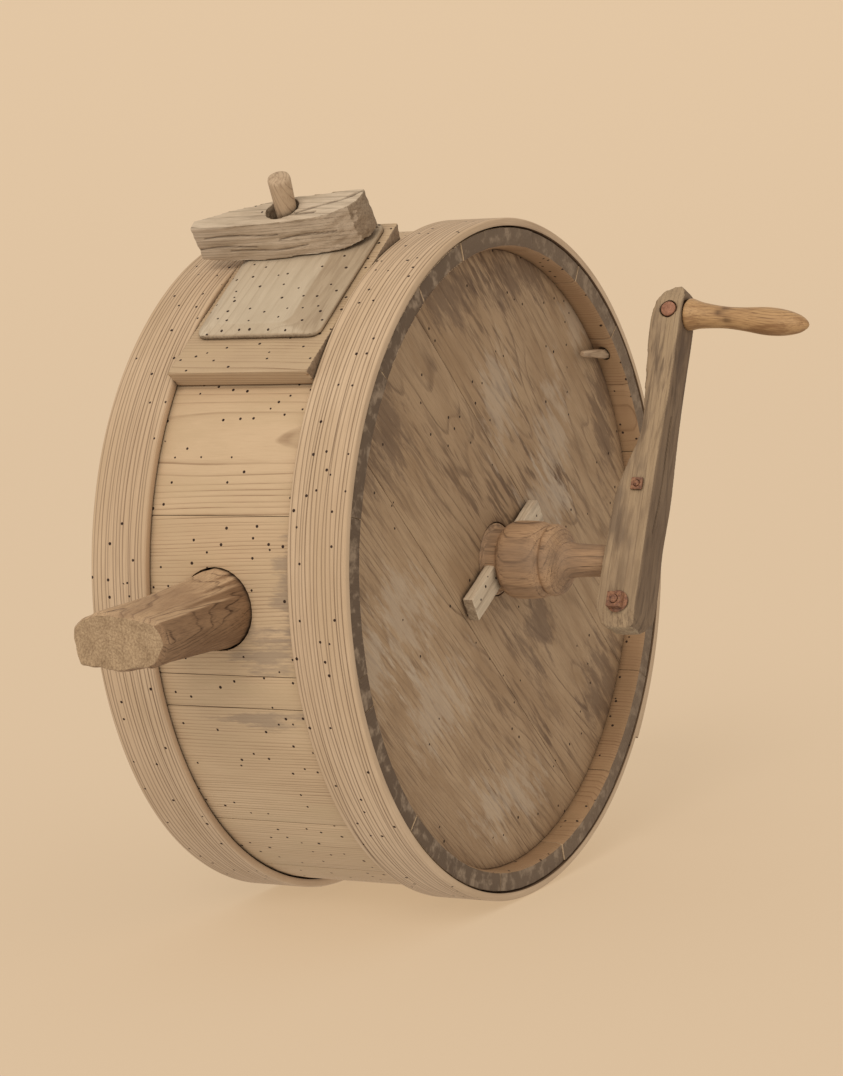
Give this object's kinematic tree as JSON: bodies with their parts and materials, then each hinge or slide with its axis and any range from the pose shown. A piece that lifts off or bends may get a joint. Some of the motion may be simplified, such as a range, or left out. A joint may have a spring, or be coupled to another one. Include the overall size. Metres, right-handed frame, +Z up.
{
  "type": "butter churn",
  "caption": "Short coopered drum churn on its side with wide wooden hoops, a lidded mouth, a hewn bung and a hand crank that turns a paddled dasher.",
  "frame": {"origin": "on the line where the hoops touch the ground, under the middle of the drum's width", "axes": "+X along the drum's axis towards the crank, -Y the side with the bung, +Z up"},
  "size_m": [0.4162, 0.621, 0.5516],
  "materials": {
    "stave_pine": "bare aged pine, matt",
    "hoop_wood": "bare aged split wood, matt",
    "head_wood": "bare stained boards, matt, whitish with wear",
    "weathered_wood": "bare weathered wood, matt",
    "dark_wood": "bare wood darkened by milk and water",
    "lid_wood": "bare pale board, matt",
    "peg_wood": "bare wood, handled",
    "branch_wood": "bare hewn branch, dark skin",
    "shaft_wood": "turned wood, worn smooth",
    "key_wood": "bare pale split wood",
    "arm_wood": "bare sawn wood, worn smooth",
    "pin_wood": "bare reddish peg",
    "grip_wood": "turned oak polished by hands",
    "rusty_iron": "wrought iron, rusted"
  },
  "bodies": {
    "drum": {"stave_01": "stave_pine", "stave_02": "stave_pine", "stave_03": "stave_pine", "stave_04": "stave_pine", "stave_05": "stave_pine", "stave_06": "stave_pine", "stave_07": "stave_pine", "stave_08": "stave_pine", "stave_09": "stave_pine", "stave_10": "stave_pine", "stave_11": "stave_pine", "stave_12": "stave_pine", "stave_13": "stave_pine", "stave_14": "stave_pine", "stave_15": "stave_pine", "stave_16": "stave_pine", "stave_17": "stave_pine", "stave_18": "stave_pine", "front_hoop": "hoop_wood", "rear_hoop": "hoop_wood", "front_head_board_1": "head_wood", "front_head_board_2": "head_wood", "front_head_board_3": "head_wood", "front_hoop_nail_1": "rusty_iron", "front_hoop_nail_2": "rusty_iron", "rear_head_board_1": "head_wood", "rear_head_board_2": "head_wood", "rear_head_board_3": "head_wood", "rear_hoop_nail_1": "rusty_iron", "rear_hoop_nail_2": "rusty_iron", "mouth_collar": "stave_pine", "collar_nail_1": "rusty_iron", "collar_nail_2": "rusty_iron", "collar_nail_3": "rusty_iron", "collar_nail_4": "rusty_iron", "head_retaining_peg": "weathered_wood", "rear_bearing": "dark_wood"},
    "lid": {"lid_board": "lid_wood", "lid_plug": "lid_wood"},
    "turn_block": {"turn_block": "weathered_wood"},
    "vent_peg": {"vent_peg": "peg_wood"},
    "bung": {"bung": "branch_wood"},
    "dasher": {"dasher_shaft": "shaft_wood", "shaft_key": "key_wood", "paddle_1": "dark_wood", "paddle_2": "dark_wood", "paddle_3": "dark_wood", "paddle_4": "dark_wood", "paddle_pin_1": "dark_wood", "paddle_pin_2": "dark_wood", "paddle_pin_3": "dark_wood", "paddle_pin_4": "dark_wood", "crank_arm": "arm_wood", "grip_pin": "pin_wood", "arm_bolt": "rusty_iron", "arm_washer": "rusty_iron", "arm_nut": "rusty_iron", "arm_rivet": "rusty_iron", "rivet_burr": "rusty_iron", "grip": "grip_wood"}
  },
  "joints": [
    {"name": "crank_turn", "type": "hinge", "parent": "drum", "child": "dasher", "pos_m": [0, 0, 0.254], "axis": [1, 0, 0], "continuous": true},
    {"name": "lid_lift", "type": "slide", "parent": "drum", "child": "lid", "axis": [0, -0.5664, 0.8241], "range_m": [0, 0.12]},
    {"name": "block_turn", "type": "hinge", "parent": "lid", "child": "turn_block", "pos_m": [-0.0095, -0.10225, 0.49812], "axis": [0, -0.5664, 0.8241], "continuous": true},
    {"name": "vent_peg_lift", "type": "slide", "parent": "lid", "child": "vent_peg", "axis": [0.1736, -0.5578, 0.8116], "range_m": [0, 0.07]},
    {"name": "bung_pull", "type": "slide", "parent": "drum", "child": "bung", "axis": [0, -1, 0], "range_m": [0, 0.05]}
  ]
}
